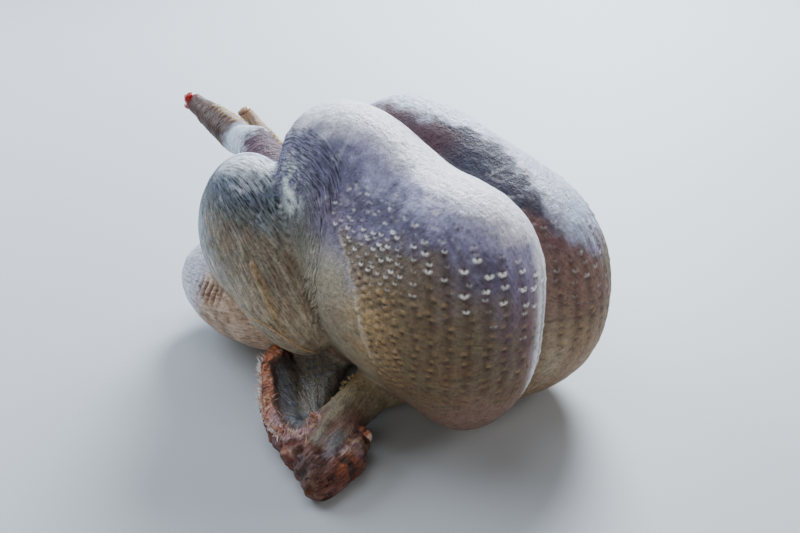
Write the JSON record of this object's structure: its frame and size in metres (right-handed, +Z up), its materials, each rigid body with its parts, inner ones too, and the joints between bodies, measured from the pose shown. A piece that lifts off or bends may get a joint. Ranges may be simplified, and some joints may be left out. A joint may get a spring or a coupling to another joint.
{
  "type": "whole raw turkey",
  "caption": "Whole raw plucked turkey lying on its back, breast up, with full breast lobes, drawn-up legs ending in cut scaly shanks, and a wing thrown out to the side.",
  "frame": {"origin": "middle of the bird's outline seen from above, at the level of the ground it lies on", "axes": "+Z up, out of the breast; +Y towards the tail and legs; -X on the side of the wing that is thrown out"},
  "size_m": [0.295, 0.376, 0.2115],
  "materials": {
    "skin": "raw poultry skin, dull with a moist sheen"
  },
  "bodies": {
    "root": {"turkey": "skin"}
  },
  "joints": []
}
